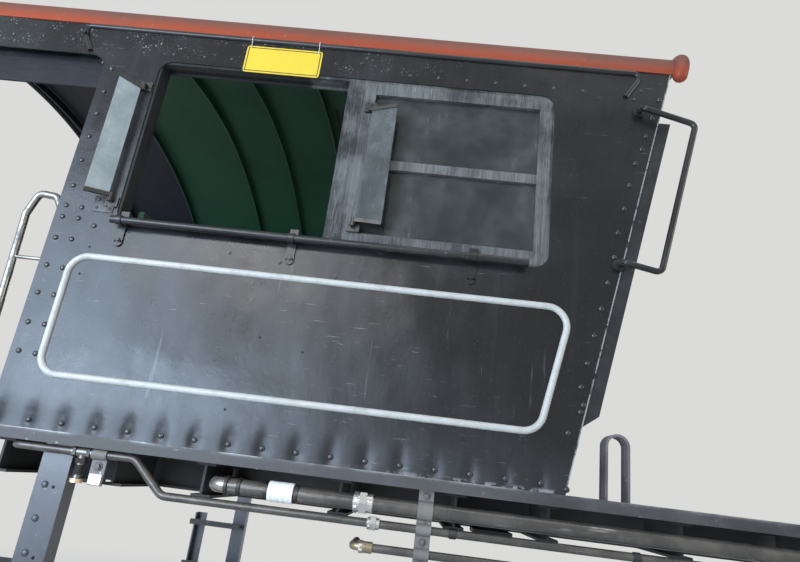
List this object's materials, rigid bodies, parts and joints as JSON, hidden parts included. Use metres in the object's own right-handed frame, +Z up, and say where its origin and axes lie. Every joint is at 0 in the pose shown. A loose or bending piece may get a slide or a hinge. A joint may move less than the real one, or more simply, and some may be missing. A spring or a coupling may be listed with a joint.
{
  "type": "steam locomotive cab",
  "caption": "Riveted steel cab of a steam locomotive with arched red roof, slanted front, wood windows, wind wings, deck, steps, grab irons and side pipes",
  "frame": {"origin": "On the underside of the four mounting pads of the deck frame, midway along the foot of the side sheets, on the centre line. The pads bolt to brackets on the locomotive's frame.", "axes": "+X forward, +Y to the locomotive's left, +Z up"},
  "size_m": [4.6439, 3.2494, 3.5785],
  "materials": {
    "cab_black": "gloss black enamel, weathered",
    "roof_red": "oxide red, weathered",
    "frame_black": "matt black, dusty",
    "inside_green": "eau de nil, gloss",
    "stripe_white": "off-white, chipped",
    "pipe_black": "black, rubbed",
    "worn_wood": "weathered dark paint",
    "deck_wood": "oiled, worn",
    "seat_wood": "painted",
    "window_glass": "clear",
    "handrail": "rubbed bright",
    "clip_metal": "dull",
    "seat_leather": "brown, creased",
    "sign_yellow": "yellow",
    "cap_brass": "tarnished"
  },
  "bodies": {
    "cab": {"corner_strips": "cab_black", "deck_beams": "frame_black", "deck_outriggers": "frame_black", "deck_planks": "deck_wood", "deck_stringers": "frame_black", "drain_cap": "cap_brass", "drip_rails": "cab_black", "eave_boards": "cab_black", "fixed_sash_glass": "window_glass", "fixed_sashes": "worn_wood", "front_grab_irons": "pipe_black", "front_sheet": "cab_black", "hatch_runners": "roof_red", "panel_beads": "stripe_white", "pipe_hangers": "frame_black", "pipe_lower": "pipe_black", "pipe_middle": "pipe_black", "pipe_upper": "pipe_black", "rear_grab_irons": "handrail", "rear_posts": "cab_black", "roof_ribs_front": "inside_green", "roof_ribs_rear": "inside_green", "roof_sheet": "roof_red", "running_boards": "frame_black", "seat_back_pads": "seat_leather", "seat_boxes": "seat_wood", "side_sheet_left": "cab_black", "side_sheet_right": "cab_black", "side_sills": "cab_black", "sign_plate": "sign_yellow", "sill_rails": "pipe_black", "step_hangers": "frame_black", "step_irons": "frame_black", "step_treads": "frame_black", "window_frames": "worn_wood", "wing_brackets": "clip_metal"},
    "sash_right": {"sliding_sash_right": "worn_wood", "sliding_glass_right": "window_glass"},
    "door_right": {"front_door_right": "cab_black", "front_door_glass_right": "window_glass"},
    "lid_right": {"seat_lid_right": "seat_wood", "seat_cushion_right": "seat_leather"},
    "wing_rear_right": {"wing_clips_rear_right": "clip_metal", "wing_pane_rear_right": "window_glass"},
    "wing_fore_right": {"wing_clips_fore_right": "clip_metal", "wing_pane_fore_right": "window_glass"},
    "sash_left": {"sliding_sash_left": "worn_wood", "sliding_glass_left": "window_glass"},
    "door_left": {"front_door_left": "cab_black", "front_door_glass_left": "window_glass"},
    "lid_left": {"seat_lid_left": "seat_wood", "seat_cushion_left": "seat_leather"},
    "wing_rear_left": {"wing_clips_rear_left": "clip_metal", "wing_pane_rear_left": "window_glass"},
    "wing_fore_left": {"wing_clips_fore_left": "clip_metal", "wing_pane_fore_left": "window_glass"},
    "hatch": {"roof_hatch": "roof_red"}
  },
  "joints": [
    {"name": "sash_right_slide", "type": "slide", "parent": "cab", "child": "sash_right", "axis": [-1, 0, 0], "range_m": [0, 0.885]},
    {"name": "door_right_hinge", "type": "hinge", "parent": "cab", "child": "door_right", "pos_m": [1.32877, -1.462, 1.10174], "axis": [-0.2181, 0, -0.9759], "range_deg": [0, 95]},
    {"name": "lid_right_hinge", "type": "hinge", "parent": "cab", "child": "lid_right", "pos_m": [-0.3875, -1.44, 0.626], "axis": [1, 0, 0], "range_deg": [0, 60]},
    {"name": "wing_rear_right_hinge", "type": "hinge", "parent": "cab", "child": "wing_rear_right", "pos_m": [-0.878, -1.549, 1.457], "axis": [0, 0, 1], "range_deg": [-36, 75]},
    {"name": "wing_fore_right_hinge", "type": "hinge", "parent": "cab", "child": "wing_fore_right", "pos_m": [0.182, -1.549, 1.457], "axis": [0, 0, -1], "range_deg": [-8, 95]},
    {"name": "sash_left_slide", "type": "slide", "parent": "cab", "child": "sash_left", "axis": [-1, 0, 0], "range_m": [0, 0.885]},
    {"name": "door_left_hinge", "type": "hinge", "parent": "cab", "child": "door_left", "pos_m": [1.32877, 1.462, 1.10174], "axis": [0.2181, 0, 0.9759], "range_deg": [0, 95]},
    {"name": "lid_left_hinge", "type": "hinge", "parent": "cab", "child": "lid_left", "pos_m": [-0.3875, 1.44, 0.626], "axis": [-1, 0, 0], "range_deg": [0, 60]},
    {"name": "wing_rear_left_hinge", "type": "hinge", "parent": "cab", "child": "wing_rear_left", "pos_m": [-0.878, 1.549, 1.457], "axis": [0, 0, -1], "range_deg": [-36, 75]},
    {"name": "wing_fore_left_hinge", "type": "hinge", "parent": "cab", "child": "wing_fore_left", "pos_m": [0.182, 1.549, 1.457], "axis": [0, 0, 1], "range_deg": [-8, 95]},
    {"name": "hatch_slide", "type": "slide", "parent": "cab", "child": "hatch", "axis": [-1, 0, 0], "range_m": [0, 0.6]}
  ]
}
